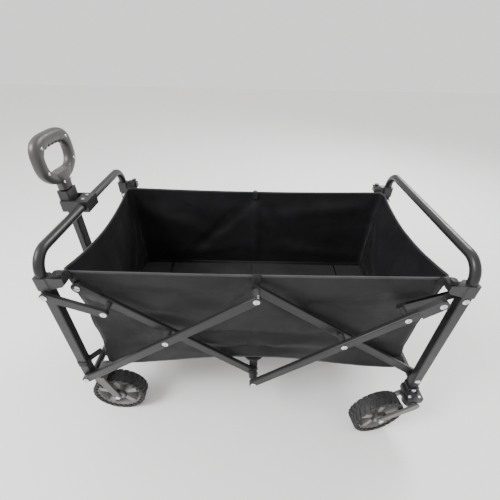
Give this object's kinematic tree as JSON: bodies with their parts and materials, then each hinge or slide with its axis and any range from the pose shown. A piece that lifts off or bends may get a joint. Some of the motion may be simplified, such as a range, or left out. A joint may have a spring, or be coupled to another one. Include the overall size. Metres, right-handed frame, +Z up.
{
  "type": "folding camp wagon",
  "caption": "Folding wagon with scissor side frames, end hoops, an open fabric tub, fixed front wheels, swivel rear casters and a telescopic pull handle.",
  "frame": {"origin": "on the ground, at the centre of the footprint of the whole object with its handle stowed", "axes": "+X runs from the handle end to the caster end, +Y to the far side, +Z up"},
  "size_m": [0.949, 0.6112, 0.737],
  "materials": {
    "frame_steel": "satin black powder coat",
    "bracket_plastic": "black moulded plastic, fine texture",
    "zinc_bolts": "bright zinc plated",
    "tub_cloth": "black woven polyester with a light coating",
    "wheel_plastic": "dark grey moulded plastic",
    "tread_rubber": "black solid tread",
    "grip_plastic": "dark grey satin plastic"
  },
  "bodies": {
    "front_frame": {"front_posts": "frame_steel", "front_hoop": "frame_steel", "front_brackets": "bracket_plastic", "front_cross_tube": "frame_steel", "front_forks": "bracket_plastic", "front_axles": "zinc_bolts", "front_pivot_bolts": "zinc_bolts", "handle_bracket": "bracket_plastic", "handle_pin": "zinc_bolts", "handle_clip": "bracket_plastic", "clip_screws": "zinc_bolts", "front_end_wall": "tub_cloth", "front_edge_board": "tub_cloth", "side_walls": "tub_cloth"},
    "front_outer_arms": {"front_outer_bars": "frame_steel", "front_outer_bolts": "zinc_bolts"},
    "front_inner_arms": {"front_inner_bars": "frame_steel", "front_bar_caps": "bracket_plastic", "front_cap_bolts": "zinc_bolts"},
    "rear_inner_arms": {"rear_inner_bars": "frame_steel", "rear_inner_bolts": "zinc_bolts"},
    "rear_outer_arms": {"rear_outer_bars": "frame_steel", "rear_bar_caps": "bracket_plastic", "rear_outer_bolts": "zinc_bolts"},
    "front_link_arms": {"front_links": "frame_steel", "front_link_bolts": "zinc_bolts"},
    "rear_link_arms": {"rear_links": "frame_steel"},
    "centre_hub": {"hub_brackets": "bracket_plastic", "hub_tube": "frame_steel", "hub_pins": "zinc_bolts", "support_pads": "bracket_plastic"},
    "front_board": {"front_floor_board": "tub_cloth"},
    "rear_board": {"rear_floor_board": "tub_cloth"},
    "rear_frame": {"rear_posts": "frame_steel", "rear_hoop": "frame_steel", "rear_brackets": "bracket_plastic", "rear_cross_tube": "frame_steel", "caster_sockets": "bracket_plastic", "rear_pivot_bolts": "zinc_bolts", "rear_end_wall": "tub_cloth", "rear_edge_board": "tub_cloth"},
    "near_caster": {"near_caster_fork": "bracket_plastic", "near_caster_axle": "zinc_bolts"},
    "far_caster": {"far_caster_fork": "bracket_plastic", "far_caster_axle": "zinc_bolts"},
    "front_near_roller": {"front_near_tyre": "tread_rubber", "front_near_wheel": "wheel_plastic"},
    "front_far_roller": {"front_far_tyre": "tread_rubber", "front_far_wheel": "wheel_plastic"},
    "rear_near_roller": {"rear_near_tyre": "tread_rubber", "rear_near_wheel": "wheel_plastic"},
    "rear_far_roller": {"rear_far_tyre": "tread_rubber", "rear_far_wheel": "wheel_plastic"},
    "handle": {"handle_tube": "frame_steel", "handle_collar": "bracket_plastic"},
    "handle_slide": {"handle_rod": "frame_steel", "grip_front": "grip_plastic", "grip_back": "grip_plastic"},
    "lock_button": {"lock_button": "zinc_bolts"}
  },
  "joints": [
    {"name": "fold", "type": "hinge", "parent": "front_frame", "child": "front_outer_arms", "pos_m": [-0.4175, 0, 0.177], "axis": [0, -1, 0], "range_deg": [0, 38.85], "deforming": ["side_walls"]},
    {"name": "rear_half_fold", "type": "hinge", "parent": "front_outer_arms", "child": "rear_inner_arms", "pos_m": [0.0175, 0, 0.474], "axis": [0, -1, 0], "range_deg": [-77.71, 0]},
    {"name": "rear_frame_level", "type": "hinge", "parent": "rear_inner_arms", "child": "rear_frame", "pos_m": [0.4525, 0, 0.177], "axis": [0, -1, 0], "range_deg": [0, 38.87]},
    {"name": "front_cross_fold", "type": "hinge", "parent": "front_outer_arms", "child": "front_inner_arms", "pos_m": [-0.1895, 0, 0.33267], "axis": [0, -1, 0], "range_deg": [-74.57, 0]},
    {"name": "rear_cross_fold", "type": "hinge", "parent": "rear_inner_arms", "child": "rear_outer_arms", "pos_m": [0.2245, 0, 0.33267], "axis": [0, -1, 0], "range_deg": [0, 74.57]},
    {"name": "hub_level", "type": "hinge", "parent": "front_inner_arms", "child": "centre_hub", "pos_m": [0.0175, 0, 0.169], "axis": [0, -1, 0], "range_deg": [0, 35.73]},
    {"name": "front_link_fold", "type": "hinge", "parent": "front_frame", "child": "front_link_arms", "pos_m": [-0.4175, 0, 0.474], "axis": [0, -1, 0], "range_deg": [0, 94.74]},
    {"name": "rear_link_fold", "type": "hinge", "parent": "rear_frame", "child": "rear_link_arms", "pos_m": [0.4525, 0, 0.474], "axis": [0, -1, 0], "range_deg": [-94.74, 0]},
    {"name": "front_board_fold", "type": "hinge", "parent": "centre_hub", "child": "front_board", "pos_m": [0.0085, 0, 0.217], "axis": [0, -1, 0], "range_deg": [-84.02, 0]},
    {"name": "rear_board_fold", "type": "hinge", "parent": "centre_hub", "child": "rear_board", "pos_m": [0.0265, 0, 0.217], "axis": [0, -1, 0], "range_deg": [0, 84.02]},
    {"name": "near_caster_swivel", "type": "hinge", "parent": "rear_frame", "child": "near_caster", "pos_m": [0.4525, -0.2535, 0.1], "axis": [0, 0, 1], "continuous": true},
    {"name": "far_caster_swivel", "type": "hinge", "parent": "rear_frame", "child": "far_caster", "pos_m": [0.4525, 0.2535, 0.1], "axis": [0, 0, 1], "continuous": true},
    {"name": "front_near_wheel_spin", "type": "hinge", "parent": "front_frame", "child": "front_near_roller", "pos_m": [-0.3645, -0.22, 0.072], "axis": [0, 1, 0], "continuous": true},
    {"name": "front_far_wheel_spin", "type": "hinge", "parent": "front_frame", "child": "front_far_roller", "pos_m": [-0.3645, 0.22, 0.072], "axis": [0, 1, 0], "continuous": true},
    {"name": "rear_near_wheel_spin", "type": "hinge", "parent": "near_caster", "child": "rear_near_roller", "pos_m": [0.35958, -0.27325, 0.072], "axis": [-0.2079, 0.9781, 0], "continuous": true},
    {"name": "rear_far_wheel_spin", "type": "hinge", "parent": "far_caster", "child": "rear_far_roller", "pos_m": [0.35958, 0.27325, 0.072], "axis": [0.2079, 0.9781, 0], "continuous": true},
    {"name": "handle_swing", "type": "hinge", "parent": "front_frame", "child": "handle", "pos_m": [-0.4615, 0, 0.185], "axis": [0, -1, 0], "range_deg": [0, 95]},
    {"name": "handle_pull", "type": "slide", "parent": "handle", "child": "handle_slide", "axis": [0, 0, 1], "range_m": [0, 0.3]},
    {"name": "lock_button_press", "type": "slide", "parent": "handle", "child": "lock_button", "axis": [1, 0, 0], "range_m": [0, 0.002], "stiffness_N_per_m": 400, "springref_m": -0.001}
  ],
  "couplings": [
    {"joint": "rear_half_fold", "follows": "fold", "ratio": -2},
    {"joint": "rear_frame_level", "follows": "fold", "ratio": 1},
    {"joint": "front_cross_fold", "follows": "fold", "ratio": -1.9191},
    {"joint": "rear_cross_fold", "follows": "fold", "ratio": 1.9191},
    {"joint": "hub_level", "follows": "fold", "ratio": 0.91914},
    {"joint": "front_link_fold", "follows": "fold", "ratio": 2.4382},
    {"joint": "rear_link_fold", "follows": "fold", "ratio": -2.4382},
    {"joint": "front_board_fold", "follows": "fold", "ratio": -2.1623},
    {"joint": "rear_board_fold", "follows": "fold", "ratio": 2.1623}
  ]
}
